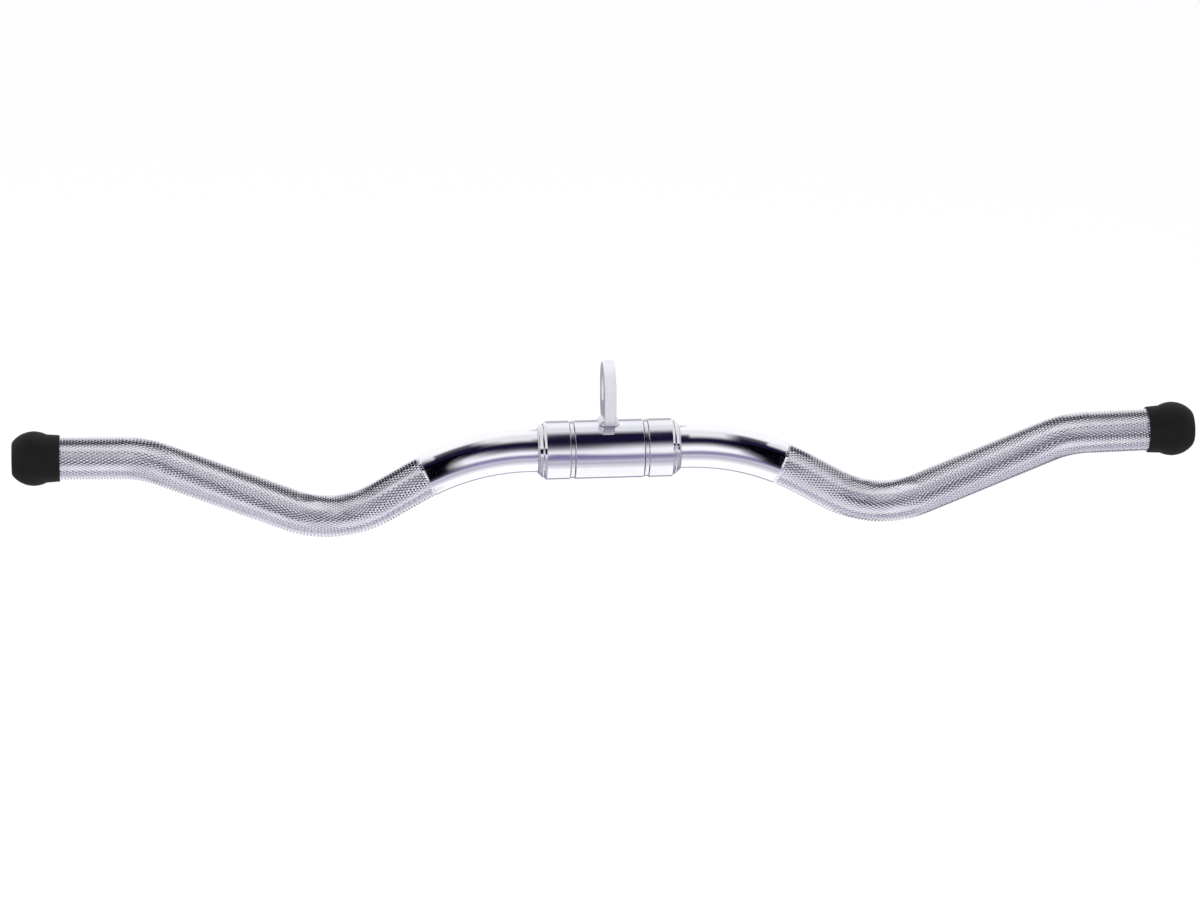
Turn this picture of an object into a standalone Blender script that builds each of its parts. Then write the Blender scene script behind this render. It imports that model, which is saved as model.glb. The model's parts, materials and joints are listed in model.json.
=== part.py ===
"""A revolving curl bar for a cable machine: a bent bar, a sleeve that turns on it, and an eye plate.

X runs along the bar, Y away from the user, Z up. The origin is the centre of the eye. Everything on the
bar is parented to an empty on the axis it turns about.
"""

import math

import bmesh
import bpy

# The bar stock
BAR_DIAMETER = 0.0254
BAR_END_CHAMFER = 0.0015

# The bends from the middle outwards: down, straight, up through the valley, straight, and nearly level.
# The middle is straight for as far as its fittings go and a little further. The last straight is what
# shows of it between its bend and the cap, and with the caps on it makes the whole 711.2 mm long.
CENTRE_STRAIGHT_SPARE = 0.0046
INNER_SLOPE_DEG = 29.5
INNER_BEND_RADIUS = 0.140
INNER_STRAIGHT = 0.0226
VALLEY_BEND_RADIUS = 0.0625
OUTER_SLOPE_DEG = 21.9
OUTER_STRAIGHT = 0.0809
OUTER_BEND_RADIUS = 0.0718
END_RISE_DEG = 1.0
END_STRAIGHT = 0.03572

# The gap between touching pieces, and the clearance between turning ones
SEAT_GAP = 0.0003
RUNNING_CLEARANCE = 0.0003

# The sleeve and the bushes pressed into its two ends
SLEEVE_DIAMETER = 0.035
SLEEVE_LENGTH = 0.0414
SLEEVE_CHAMFER = 0.0006
BUSH_WALL = 0.0015
BUSH_LENGTH = 0.0140
BUSH_CHAMFER = 0.0003
SHOULDER_CLEARANCE = 0.0008

# The thrust washers in the seams
WASHER_DIAMETER = 0.034
WASHER_THICKNESS = 0.0024
WASHER_CHAMFER = 0.0003
WASHER_BORE_CLEARANCE = 0.0005

# The collars and their grub screws
COLLAR_DIAMETER = 0.035
COLLAR_LENGTH = 0.0154
COLLAR_CHAMFER = 0.0014
SCREW_DIAMETER = 0.006
SCREW_CHAMFER = 0.0005
SCREW_RECESS = 0.0005
SOCKET_ACROSS_FLATS = 0.003
SOCKET_DEPTH = 0.002

# The stop rings, which slope down to the bar on their outer side, and the fillet welds that hold them
RING_DIAMETER = 0.032
RING_LENGTH = 0.0024
RING_CHAMFER = 0.0003
RING_SLOPE = 0.0018
RING_WELD_LENGTH = 0.0012
RING_WELD_TOE = 0.0003

# The eye plate: the eye's height over the bar's axis, the plate's outline and the eye
EYE_HEIGHT = 0.0384
PLATE_THICKNESS = 0.007
PLATE_WIDTH = 0.032
PLATE_CHAMFER = 0.0006
PLATE_FOOT_WIDTH = 0.012
EYE_DIAMETER = 0.015

# The fillet weld along each face of the plate's foot, drawn as one bead
PLATE_WELD_DIAMETER = 0.0036
PLATE_WELD_OVERRUN = 0.0015
PLATE_WELD_TAPER = 0.6
PLATE_WELD_MOST_SPREAD = 0.95

# The end caps: a ball with a flat face, and a cuff that thins out along the bar
CAP_BALL_DIAMETER = 0.0326
CAP_FACE_DIAMETER = 0.019
CAP_LENGTH = 0.0285
CAP_CUFF_WALL = 0.0014
CAP_RIM_WALL = 0.0009
CAP_END_WALL = 0.006
CAP_EDGE_RADIUS = 0.0005

# How finely round things are cut
TURNED_STEPS = 40
SMALL_STEPS = 20
BAR_BEVEL_RESOLUTION = 14
WELD_BEVEL_RESOLUTION = 2
BEND_STEP_DEG = 4.0
PLATE_ARC_STEPS = 24
CORNER_ARC_STEPS = 8
EYE_STEPS = 32
WELD_ARC_STEPS = 16
CAP_ARC_STEPS = 10
EDGE_ARC_STEPS = 2
MERGE = 0.00001
SHARP_ANGLE_DEG = 25
EMPTY_SIZE = 0.02

BAR_RADIUS = BAR_DIAMETER / 2
SLEEVE_RADIUS = SLEEVE_DIAMETER / 2
COLLAR_RADIUS = COLLAR_DIAMETER / 2
BORE_RADIUS = BAR_RADIUS + RUNNING_CLEARANCE
SEAT_RADIUS = BAR_RADIUS + SEAT_GAP
BUSH_OUTER_RADIUS = BORE_RADIUS + BUSH_WALL
RING_FACE_RADIUS = max(RING_DIAMETER / 2 - RING_SLOPE, SEAT_RADIUS + RING_WELD_TOE)
FULL_TURN = 2 * math.pi
HALF_TURN = math.pi
QUARTER_TURN = math.pi / 2

# Stations along the bar, from the middle outwards
SLEEVE_END = SLEEVE_LENGTH / 2
WASHER_START = SLEEVE_END + SEAT_GAP
WASHER_END = WASHER_START + WASHER_THICKNESS
COLLAR_START = WASHER_END + SEAT_GAP
COLLAR_END = COLLAR_START + COLLAR_LENGTH
RING_START = COLLAR_END + SEAT_GAP
RING_END = RING_START + RING_LENGTH
RING_WELD_START = RING_END + SEAT_GAP
RING_WELD_END = RING_WELD_START + RING_WELD_LENGTH
CENTRE_STRAIGHT_HALF = RING_WELD_END + CENTRE_STRAIGHT_SPARE

SIDES = {"left": -1, "right": 1}

# Where a collar's grub screws point, and the turn that takes a piece's own Z there
SCREW_SEATS = {
    "back": ((0.0, 1.0, 0.0), (-QUARTER_TURN, 0.0, 0.0)),
    "bottom": ((0.0, 0.0, -1.0), (HALF_TURN, 0.0, 0.0)),
}


def clear_scene():
    """Removes every object, so that the script can be run again."""
    for thing in list(bpy.data.objects):
        bpy.data.objects.remove(thing, do_unlink=True)
    for collection in list(bpy.data.collections):
        bpy.data.collections.remove(collection)


def new_collection(name):
    collection = bpy.data.collections.new(name)
    bpy.context.scene.collection.children.link(collection)
    return collection


def new_material(name, colour, roughness, metallic):
    """A plain Principled material in the colour of the real finish."""
    material = bpy.data.materials.new(name)
    material.use_nodes = True
    shader = material.node_tree.nodes["Principled BSDF"]
    shader.inputs["Base Color"].default_value = (*colour, 1.0)
    shader.inputs["Roughness"].default_value = roughness
    shader.inputs["Metallic"].default_value = metallic
    return material


def new_object(name, data, collection, parent, material=None):
    thing = bpy.data.objects.new(name, data)
    collection.objects.link(thing)
    thing.parent = parent
    if material:
        data.materials.append(material)
    return thing


def new_empty(name, collection, location):
    empty = new_object(name, None, collection, None)
    empty.location = location
    empty.empty_display_size = EMPTY_SIZE
    return empty


def shade_round(mesh):
    mesh.shade_smooth()
    mesh.set_sharp_from_angle(angle=math.radians(SHARP_ANGLE_DEG))


def turned(name, profile, closed, collection, parent, material, steps=TURNED_STEPS):
    """A turned piece about its own Z: the profile of (radius, height) points runs down its outer side."""
    mesh = bpy.data.meshes.new(name)
    points = [(radius, 0.0, height) for radius, height in profile]
    edges = [(i, i + 1) for i in range(len(points) - 1)]
    if closed:
        edges.append((len(points) - 1, 0))
    mesh.from_pydata(points, edges, [])
    piece = new_object(name, mesh, collection, parent, material)
    screw = piece.modifiers.new("turn", "SCREW")
    screw.axis = "Z"
    screw.angle = FULL_TURN
    screw.steps = steps
    screw.render_steps = steps
    screw.use_merge_vertices = True
    screw.merge_threshold = MERGE
    screw.use_smooth_shade = True
    return piece


def ring_profile(outer, inner, start, end, chamfer):
    """The section of a plain ring with chamfered outer edges, from its far end down to its near one."""
    return [
        (outer - chamfer, end),
        (outer, end - chamfer),
        (outer, start + chamfer),
        (outer - chamfer, start),
        (inner, start),
        (inner, end),
    ]


def point_outwards(piece, side, tilt=0.0):
    """Lays a turned piece's own Z along the bar, away from the middle, and tilts it up."""
    piece.rotation_euler = (0.0, SIDES[side] * (QUARTER_TURN - tilt), 0.0)


def cut(piece, cutter, name):
    modifier = piece.modifiers.new(name, "BOOLEAN")
    modifier.operation = "DIFFERENCE"
    modifier.solver = "EXACT"
    modifier.object = cutter


def round_cutter(name, radius, length, steps, collection, parent):
    """A plain cylinder along its own Z, centred on its origin."""
    bpy.ops.mesh.primitive_cylinder_add(vertices=steps, radius=radius, depth=length)
    cutter = bpy.context.object
    cutter.name = name
    for old in list(cutter.users_collection):
        old.objects.unlink(cutter)
    collection.objects.link(cutter)
    cutter.parent = parent
    cutter.display_type = "WIRE"
    cutter.hide_render = True
    return cutter


def curve_as_mesh(piece, name, collection, material):
    """The mesh object that takes a curve's place, with its caps welded on."""
    bpy.context.view_layer.update()
    evaluated = piece.evaluated_get(bpy.context.evaluated_depsgraph_get())
    mesh = bpy.data.meshes.new_from_object(evaluated)
    mesh.name = name
    parent = piece.parent
    place = piece.matrix_world.copy()
    bpy.data.objects.remove(piece, do_unlink=True)
    weld_points(mesh)
    shade_round(mesh)
    mesh.materials.clear()
    solid = new_object(name, mesh, collection, parent, material)
    solid.matrix_world = place
    return solid


def weld_points(mesh):
    work = bmesh.new()
    work.from_mesh(mesh)
    bmesh.ops.remove_doubles(work, verts=work.verts, dist=MERGE)
    work.to_mesh(mesh)
    work.free()


def arc_points(centre, radius, first, last, steps):
    """Points on an arc about centre, from one angle to the other, both ends included."""
    turns = [first + (last - first) * i / steps for i in range(steps + 1)]
    return [(centre[0] + radius * math.cos(turn), centre[1] + radius * math.sin(turn)) for turn in turns]


def walk_bends():
    """The centreline from the middle to the end of the last bend, as (x, z) points, and the heading there."""
    inner = math.radians(INNER_SLOPE_DEG)
    outer = math.radians(OUTER_SLOPE_DEG)
    rise = math.radians(END_RISE_DEG)
    stretches = [
        (CENTRE_STRAIGHT_HALF, INNER_BEND_RADIUS, -inner),
        (INNER_STRAIGHT, VALLEY_BEND_RADIUS, inner + outer),
        (OUTER_STRAIGHT, OUTER_BEND_RADIUS, rise - outer),
    ]
    x, z, heading = 0.0, 0.0, 0.0
    points = []
    for straight, radius, turn in stretches:
        x += straight * math.cos(heading)
        z += straight * math.sin(heading)
        points.append((x, z))
        steps = max(2, round(abs(turn) / math.radians(BEND_STEP_DEG)))
        chord = 2 * radius * math.sin(abs(turn) / steps / 2)
        for _ in range(steps):
            heading += turn / steps / 2
            x += chord * math.cos(heading)
            z += chord * math.sin(heading)
            heading += turn / steps / 2
            points.append((x, z))
    return points, heading


def past_last_bend(distance):
    """The point on the centreline at a distance past the last bend, and the heading there."""
    points, heading = walk_bends()
    x, z = points[-1]
    return (x + distance * math.cos(heading), z + distance * math.sin(heading)), heading


def make_bar(collection, parent, material):
    """The bar: one bent round with a chamfer at each end, which stops short of the caps' end walls."""
    half, _ = walk_bends()
    length = END_STRAIGHT + CAP_LENGTH - CAP_END_WALL - SEAT_GAP
    shoulder, _ = past_last_bend(length - BAR_END_CHAMFER)
    end, _ = past_last_bend(length)
    half += [shoulder, end]
    whole = [(-x, z) for x, z in reversed(half)] + half
    curve = bpy.data.curves.new("bar", "CURVE")
    curve.dimensions = "3D"
    curve.twist_mode = "Z_UP"
    curve.bevel_depth = BAR_RADIUS
    curve.bevel_resolution = BAR_BEVEL_RESOLUTION
    curve.use_fill_caps = True
    spline = curve.splines.new("POLY")
    spline.points.add(len(whole) - 1)
    for point, (x, z) in zip(spline.points, whole):
        point.co = (x, 0.0, z, 1.0)
    small = 1 - BAR_END_CHAMFER / BAR_RADIUS
    spline.points[0].radius = small
    spline.points[-1].radius = small
    return new_object("bar", curve, collection, parent, material)


def make_sleeve(collection, parent, material):
    """The sleeve: its bore is wide at both ends for the bushes, with a shoulder between them."""
    seat = BUSH_OUTER_RADIUS + SEAT_GAP
    shoulder_radius = BORE_RADIUS + SHOULDER_CLEARANCE
    shoulder_half = SLEEVE_END - BUSH_LENGTH - 2 * SEAT_GAP
    profile = [
        (SLEEVE_RADIUS - SLEEVE_CHAMFER, SLEEVE_END),
        (SLEEVE_RADIUS, SLEEVE_END - SLEEVE_CHAMFER),
        (SLEEVE_RADIUS, -SLEEVE_END + SLEEVE_CHAMFER),
        (SLEEVE_RADIUS - SLEEVE_CHAMFER, -SLEEVE_END),
        (seat, -SLEEVE_END),
        (seat, -shoulder_half),
        (shoulder_radius, -shoulder_half),
        (shoulder_radius, shoulder_half),
        (seat, shoulder_half),
        (seat, SLEEVE_END),
    ]
    sleeve = turned("swivel_sleeve", profile, True, collection, parent, material)
    point_outwards(sleeve, "right")


def make_bush(side, collection, parent, material):
    """A plain bush, flush with the sleeve's end but for the gap."""
    end = SLEEVE_END - SEAT_GAP
    profile = ring_profile(BUSH_OUTER_RADIUS, BORE_RADIUS, end - BUSH_LENGTH, end, BUSH_CHAMFER)
    bush = turned(f"bush_{side}", profile, True, collection, parent, material)
    point_outwards(bush, side)


def make_washer(side, collection, parent, material):
    inner = BAR_RADIUS + WASHER_BORE_CLEARANCE
    profile = ring_profile(WASHER_DIAMETER / 2, inner, WASHER_START, WASHER_END, WASHER_CHAMFER)
    washer = turned(f"thrust_washer_{side}", profile, True, collection, parent, material)
    point_outwards(washer, side)


def on_collar(side, direction, radius):
    """The point at the middle of a collar's length, at a radius from the bar's axis."""
    middle = SIDES[side] * (COLLAR_START + COLLAR_END) / 2
    return (middle, direction[1] * radius, direction[2] * radius)


def make_collar(side, collection, cutters, parent, material):
    """A collar with a radial hole for each grub screw."""
    profile = ring_profile(COLLAR_RADIUS, SEAT_RADIUS, COLLAR_START, COLLAR_END, COLLAR_CHAMFER)
    collar = turned(f"collar_{side}", profile, True, collection, parent, material)
    point_outwards(collar, side)
    hole_radius = SCREW_DIAMETER / 2 + SEAT_GAP
    for seat, (direction, rotation) in SCREW_SEATS.items():
        cutter = round_cutter(f"cut_{side}_{seat}", hole_radius, COLLAR_RADIUS, SMALL_STEPS, cutters, parent)
        cutter.location = on_collar(side, direction, (SEAT_RADIUS + COLLAR_RADIUS) / 2)
        cutter.rotation_euler = rotation
        cut(collar, cutter, f"hole_{seat}")


def screw_mesh(cutters, collection):
    """A grub screw along Z with its tip at the origin and a hexagon socket in its head."""
    length = COLLAR_RADIUS - SEAT_RADIUS - SCREW_RECESS
    radius = SCREW_DIAMETER / 2
    profile = [
        (0.0, length),
        (radius - SCREW_CHAMFER, length),
        (radius, length - SCREW_CHAMFER),
        (radius, SCREW_CHAMFER),
        (radius - SCREW_CHAMFER, 0.0),
        (0.0, 0.0),
    ]
    pattern = turned("screw_pattern", profile, False, collection, None, None, SMALL_STEPS)
    socket_radius = SOCKET_ACROSS_FLATS / math.sqrt(3)
    socket = round_cutter("cut_socket", socket_radius, 2 * SOCKET_DEPTH, 6, cutters, None)
    socket.location = (0.0, 0.0, length)
    cut(pattern, socket, "socket")
    bpy.context.view_layer.update()
    evaluated = pattern.evaluated_get(bpy.context.evaluated_depsgraph_get())
    mesh = bpy.data.meshes.new_from_object(evaluated)
    bpy.data.objects.remove(pattern, do_unlink=True)
    bpy.data.objects.remove(socket, do_unlink=True)
    mesh.name = "set_screw"
    shade_round(mesh)
    return mesh


def make_screws(side, mesh, collection, parent):
    for seat, (direction, rotation) in SCREW_SEATS.items():
        screw = new_object(f"set_screw_{side}_{seat}", mesh, collection, parent)
        screw.location = on_collar(side, direction, SEAT_RADIUS)
        screw.rotation_euler = rotation


def make_stop_ring(side, collection, parent, material):
    """The ring beside the collar, with a slope of 45 degrees on its outer side."""
    outer = RING_DIAMETER / 2
    profile = [
        (RING_FACE_RADIUS, RING_END),
        (outer, RING_END - (outer - RING_FACE_RADIUS)),
        (outer, RING_START + RING_CHAMFER),
        (outer - RING_CHAMFER, RING_START),
        (SEAT_RADIUS, RING_START),
        (SEAT_RADIUS, RING_END),
    ]
    ring = turned(f"stop_ring_{side}", profile, True, collection, parent, material)
    point_outwards(ring, side)


def make_ring_weld(side, collection, parent, material):
    """The fillet from the stop ring's outer face down to the bar."""
    profile = [
        (SEAT_RADIUS + RING_WELD_TOE, RING_WELD_END),
        (RING_FACE_RADIUS, RING_WELD_START),
        (SEAT_RADIUS, RING_WELD_START),
        (SEAT_RADIUS, RING_WELD_END),
    ]
    weld = turned(f"stop_ring_weld_{side}", profile, True, collection, parent, material)
    point_outwards(weld, side)


def add_outline(curve, points):
    spline = curve.splines.new("POLY")
    spline.points.add(len(points) - 1)
    for point, (across, up) in zip(spline.points, points):
        point.co = (across, up, 0.0, 1.0)
    spline.use_cyclic_u = True


def make_plate(collection, cutters, parent, material):
    """The eye plate: round over the eye, straight sides, round lower corners, and a foot cut to the sleeve."""
    half = PLATE_WIDTH / 2
    foot_half = PLATE_FOOT_WIDTH / 2
    saddle_radius = SLEEVE_RADIUS + SEAT_GAP
    foot = math.sqrt(saddle_radius**2 - foot_half**2) - SEAT_GAP - EYE_HEIGHT
    corner = min(half - foot_half, -foot)
    corner_turns = (HALF_TURN, HALF_TURN + QUARTER_TURN, FULL_TURN)
    outline = arc_points((0.0, 0.0), half, 0.0, HALF_TURN, PLATE_ARC_STEPS)
    for side, first, last in zip((-1, 1), corner_turns, corner_turns[1:]):
        outline += arc_points((side * (half - corner), foot + corner), corner, first, last, CORNER_ARC_STEPS)
    eye = arc_points((0.0, 0.0), EYE_DIAMETER / 2, 0.0, FULL_TURN, EYE_STEPS)[:-1]
    curve = bpy.data.curves.new("plate_outline", "CURVE")
    curve.dimensions = "2D"
    curve.fill_mode = "BOTH"
    curve.extrude = PLATE_THICKNESS / 2 - PLATE_CHAMFER
    curve.bevel_depth = PLATE_CHAMFER
    curve.bevel_resolution = 0
    curve.offset = -PLATE_CHAMFER
    add_outline(curve, outline)
    add_outline(curve, eye)
    flat = new_object("plate_outline", curve, collection, parent)
    flat.rotation_euler = (QUARTER_TURN, 0.0, QUARTER_TURN)
    plate = curve_as_mesh(flat, "hanger_plate", collection, material)
    saddle = round_cutter("cut_saddle", saddle_radius, 2 * PLATE_THICKNESS, 2 * TURNED_STEPS, cutters, parent)
    saddle.location = (0.0, 0.0, -EYE_HEIGHT)
    saddle.rotation_euler = (0.0, QUARTER_TURN, 0.0)
    cut(plate, saddle, "saddle")


def make_plate_weld(side, collection, parent, material):
    """The bead in the corner between one face of the plate's foot and the sleeve."""
    bead = PLATE_WELD_DIAMETER / 2
    lift = SLEEVE_RADIUS + SEAT_GAP + bead
    spread = math.asin(min((PLATE_FOOT_WIDTH / 2 + PLATE_WELD_OVERRUN) / lift, PLATE_WELD_MOST_SPREAD))
    across = SIDES[side] * (PLATE_THICKNESS / 2 + SEAT_GAP + bead)
    arc = arc_points((0.0, -EYE_HEIGHT), lift, QUARTER_TURN - spread, QUARTER_TURN + spread, WELD_ARC_STEPS)
    curve = bpy.data.curves.new(f"hanger_weld_{side}", "CURVE")
    curve.dimensions = "3D"
    curve.bevel_depth = bead
    curve.bevel_resolution = WELD_BEVEL_RESOLUTION
    curve.use_fill_caps = True
    spline = curve.splines.new("POLY")
    spline.points.add(len(arc) - 1)
    for point, (y, z) in zip(spline.points, arc):
        point.co = (across, y, z, 1.0)
    spline.points[0].radius = PLATE_WELD_TAPER
    spline.points[-1].radius = PLATE_WELD_TAPER
    new_object(f"hanger_weld_{side}", curve, collection, parent, material)


def cap_profile():
    """The cap's section over its rim: from the flat face down the ball and the cuff, and back up the bore."""
    ball = CAP_BALL_DIAMETER / 2
    face = CAP_FACE_DIAMETER / 2
    cuff = min(SEAT_RADIUS + CAP_CUFF_WALL, ball)
    rim = SEAT_RADIUS + CAP_RIM_WALL
    edge = CAP_EDGE_RADIUS
    above_centre = math.sqrt(ball**2 - face**2)
    below_centre = math.sqrt(ball**2 - cuff**2)
    centre = (0.0, CAP_LENGTH - above_centre)
    first = math.atan2(above_centre, face)
    last = -math.atan2(below_centre, cuff)
    side = arc_points(centre, ball, first, last, CAP_ARC_STEPS)
    rounding = arc_points((rim - edge, edge), edge, 0.0, -QUARTER_TURN, EDGE_ARC_STEPS)
    floor = CAP_LENGTH - CAP_END_WALL
    bore = [(SEAT_RADIUS, 0.0), (SEAT_RADIUS, floor), (0.0, floor)]
    return [(0.0, CAP_LENGTH)] + side + rounding + bore


def make_cap(side, collection, parent, material):
    cap = turned(f"end_cap_{side}", cap_profile(), False, collection, parent, material)
    (x, z), heading = past_last_bend(END_STRAIGHT)
    cap.location = (SIDES[side] * x, 0.0, z)
    point_outwards(cap, side, heading)


def main():
    clear_scene()
    parts = new_collection("cable_ez_bar")
    cutters = new_collection("cutters")
    hanger = new_empty("hanger_frame", parts, (0.0, 0.0, 0.0))
    sleeve_axis = new_empty("sleeve_axis", parts, (0.0, 0.0, -EYE_HEIGHT))
    sleeve_axis.parent = hanger
    axis = new_empty("bar_axis", parts, (0.0, 0.0, -EYE_HEIGHT))

    bar_chrome = new_material("knurled chrome bar", (0.60, 0.60, 0.63), 0.22, 1.0)
    sleeve_chrome = new_material("chrome sleeve", (0.66, 0.66, 0.70), 0.06, 1.0)
    plate_chrome = new_material("chrome eye plate", (0.64, 0.64, 0.68), 0.12, 1.0)
    weld_chrome = new_material("plated weld", (0.58, 0.58, 0.62), 0.25, 1.0)
    collar_chrome = new_material("chrome collar", (0.66, 0.66, 0.70), 0.07, 1.0)
    ring_chrome = new_material("chrome stop ring", (0.64, 0.64, 0.68), 0.10, 1.0)
    washer_steel = new_material("ground steel washer", (0.55, 0.55, 0.56), 0.30, 1.0)
    bush_bronze = new_material("sintered bronze", (0.53, 0.37, 0.17), 0.45, 1.0)
    screw_black = new_material("blackened screw steel", (0.03, 0.03, 0.03), 0.40, 1.0)
    cap_rubber = new_material("black rubber", (0.012, 0.012, 0.011), 0.65, 0.0)

    make_bar(parts, axis, bar_chrome)
    make_sleeve(parts, sleeve_axis, sleeve_chrome)
    make_plate(parts, cutters, hanger, plate_chrome)
    screw = screw_mesh(cutters, parts)
    screw.materials.append(screw_black)
    for side in SIDES:
        make_plate_weld(side, parts, hanger, weld_chrome)
        make_bush(side, parts, sleeve_axis, bush_bronze)
        make_washer(side, parts, axis, washer_steel)
        make_collar(side, parts, cutters, axis, collar_chrome)
        make_screws(side, screw, parts, axis)
        make_stop_ring(side, parts, axis, ring_chrome)
        make_ring_weld(side, parts, axis, weld_chrome)
        make_cap(side, parts, axis, cap_rubber)
    bpy.context.view_layer.update()


main()
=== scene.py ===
import json
import math

import bmesh
import bpy
from mathutils import Matrix, Vector, noise


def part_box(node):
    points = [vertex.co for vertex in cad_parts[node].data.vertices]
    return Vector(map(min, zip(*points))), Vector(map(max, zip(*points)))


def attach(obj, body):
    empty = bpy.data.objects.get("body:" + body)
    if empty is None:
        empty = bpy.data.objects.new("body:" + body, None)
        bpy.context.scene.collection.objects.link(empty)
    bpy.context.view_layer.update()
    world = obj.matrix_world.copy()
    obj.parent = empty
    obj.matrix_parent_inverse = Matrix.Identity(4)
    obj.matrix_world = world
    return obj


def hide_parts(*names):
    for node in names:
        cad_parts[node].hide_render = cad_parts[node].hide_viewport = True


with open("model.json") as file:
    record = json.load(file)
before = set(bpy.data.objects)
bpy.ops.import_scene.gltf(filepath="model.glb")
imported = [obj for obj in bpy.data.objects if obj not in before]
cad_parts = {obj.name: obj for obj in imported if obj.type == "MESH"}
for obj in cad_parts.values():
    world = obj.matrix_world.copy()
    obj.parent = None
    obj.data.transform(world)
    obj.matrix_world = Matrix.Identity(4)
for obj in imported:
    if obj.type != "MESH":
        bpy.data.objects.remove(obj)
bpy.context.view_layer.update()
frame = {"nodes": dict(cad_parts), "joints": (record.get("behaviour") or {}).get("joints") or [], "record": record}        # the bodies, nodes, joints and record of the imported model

mm = 0.001
fullTurn = 2 * math.pi
quarterTurn = math.pi / 2
axisHeight = frame["joints"][0]["pos_m"][2]        # the height of the line the bar turns about
sides = {"left": -1, "right": 1}


# Small helpers for colours, materials, objects and meshes

def linearColour(hexColour):
    # an sRGB hex colour as the linear values that a shader takes
    channels = [int(hexColour[i:i + 2], 16) / 255 for i in (1, 3, 5)]
    linear = [c / 12.92 if c <= 0.04045 else ((c + 0.055) / 1.055) ** 2.4 for c in channels]
    return (*linear, 1.0)


def addNode(tree, kind, settings=None, links=None):
    # a node with its settings: an attribute of the node, or else one of its inputs
    node = tree.nodes.new(kind)
    for key, value in (settings or {}).items():
        if isinstance(key, str) and hasattr(node, key):
            setattr(node, key, value)
        else:
            node.inputs[key].default_value = value
    for key, source in (links or {}).items():
        tree.links.new(source, node.inputs[key])
    return node


def setRamp(node, stops):
    # the stops of a colour ramp: (position, grey value or colour)
    elements = node.color_ramp.elements
    while len(elements) > 1:
        elements.remove(elements[-1])
    for i, (position, value) in enumerate(stops):
        element = elements[0] if i == 0 else elements.new(position)
        element.position = position
        element.color = value if hasattr(value, "__len__") else (value, value, value, 1.0)


def newMaterial(name, settings):
    # a material with its Principled shader, and the place of a point on the piece in metres
    material = bpy.data.materials.new(name)
    material.use_nodes = True
    tree = material.node_tree
    shader = tree.nodes["Principled BSDF"]
    for key, value in settings.items():
        shader.inputs[key].default_value = value
    place = addNode(tree, "ShaderNodeTexCoord").outputs["Object"]
    return material, tree, shader, place


def newObject(name, data):
    thing = bpy.data.objects.new(name, data)
    bpy.context.scene.collection.objects.link(thing)
    return thing


def evaluatedMesh(thing, **options):
    # the mesh of an object with its modifiers or curve settings
    bpy.context.view_layer.update()
    graph = bpy.context.evaluated_depsgraph_get()
    if options:
        options["depsgraph"] = graph
    return bpy.data.meshes.new_from_object(thing.evaluated_get(graph), **options)


def smoothMesh(mesh, sharpDegrees):
    mesh.shade_smooth()
    mesh.set_sharp_from_angle(angle=math.radians(sharpDegrees))


def weighNormals(mesh):
    # the large faces set the shading along their edges, so that cylinders and flats mirror truly
    blank = newObject("normalsBlank", mesh)
    blank.modifiers.new("weighNormals", "WEIGHTED_NORMAL").keep_sharp = True
    weighed = evaluatedMesh(blank, preserve_all_data_layers=True)
    weighed.name = mesh.name
    bpy.data.objects.remove(blank)
    return weighed


def cleanMesh(mesh, sharpDegrees, joinWithin=None):
    # joins points that lie within a distance, turns the faces outwards and smooths the mesh
    work = bmesh.new()
    work.from_mesh(mesh)
    if joinWithin:
        bmesh.ops.remove_doubles(work, verts=work.verts, dist=joinWithin)
    bmesh.ops.recalc_face_normals(work, faces=work.faces)
    work.to_mesh(mesh)
    work.free()
    smoothMesh(mesh, sharpDegrees)


def meshFrom(name, points, faces, sharpDegrees):
    mesh = bpy.data.meshes.new(name)
    mesh.from_pydata(points, [], faces)
    cleanMesh(mesh, sharpDegrees, joinWithin=1e-7)
    return mesh


def addPiece(name, mesh, material, body, slotName, *nodes):
    # a finished piece on its body, in place of the nodes it stands for
    piece = newObject(name, mesh)
    mesh.materials.clear()
    mesh.materials.append(material)
    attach(piece, body)
    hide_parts(*nodes)


def roundedProfile(corners, steps):
    # a profile of (along, radius, rounding) corners, each rounded by its own radius
    points = []
    count = len(corners)
    for i, (along, radius, rounding) in enumerate(corners):
        here = Vector((along, radius))
        before = Vector(corners[i - 1][:2]) - here
        after = Vector(corners[(i + 1) % count][:2]) - here
        if rounding <= 0 or before.length < 1e-9 or after.length < 1e-9:
            points.append((here.x, here.y))
            continue
        before.normalize()
        after.normalize()
        opening = before.angle(after)
        setBack = rounding / math.tan(opening / 2)
        centre = here + (before + after).normalized() * (rounding / math.sin(opening / 2))
        first = here + before * setBack - centre
        last = here + after * setBack - centre
        for step in range(steps + 1):
            share = step / steps
            arm = first * (1 - share) + last * share
            arm = arm.normalized() * rounding
            points.append((centre.x + arm.x, centre.y + arm.y))
    return points


def turnedMesh(name, profile, segments, closed, place, sharpDegrees=35):
    # turns a profile of (along, radius) points about the X axis, and puts the result in its place
    points = []
    rings = []
    for along, radius in profile:
        if radius < 1e-7:
            rings.append([len(points)] * segments)
            points.append((along, 0.0, 0.0))
            continue
        rings.append([len(points) + i for i in range(segments)])
        for i in range(segments):
            turn = fullTurn * i / segments
            points.append((along, radius * math.sin(turn), radius * math.cos(turn)))
    faces = []
    pairs = list(zip(rings, rings[1:])) + ([(rings[-1], rings[0])] if closed else [])
    for near, far in pairs:
        for i in range(segments):
            j = (i + 1) % segments
            face = [near[i], near[j], far[j], far[i]]
            face = [v for k, v in enumerate(face) if v not in face[:k]]
            if len(face) > 2:
                faces.append(face)
    points = [place @ Vector(p) for p in points]
    return weighNormals(meshFrom(name, points, faces, sharpDegrees))


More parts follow.
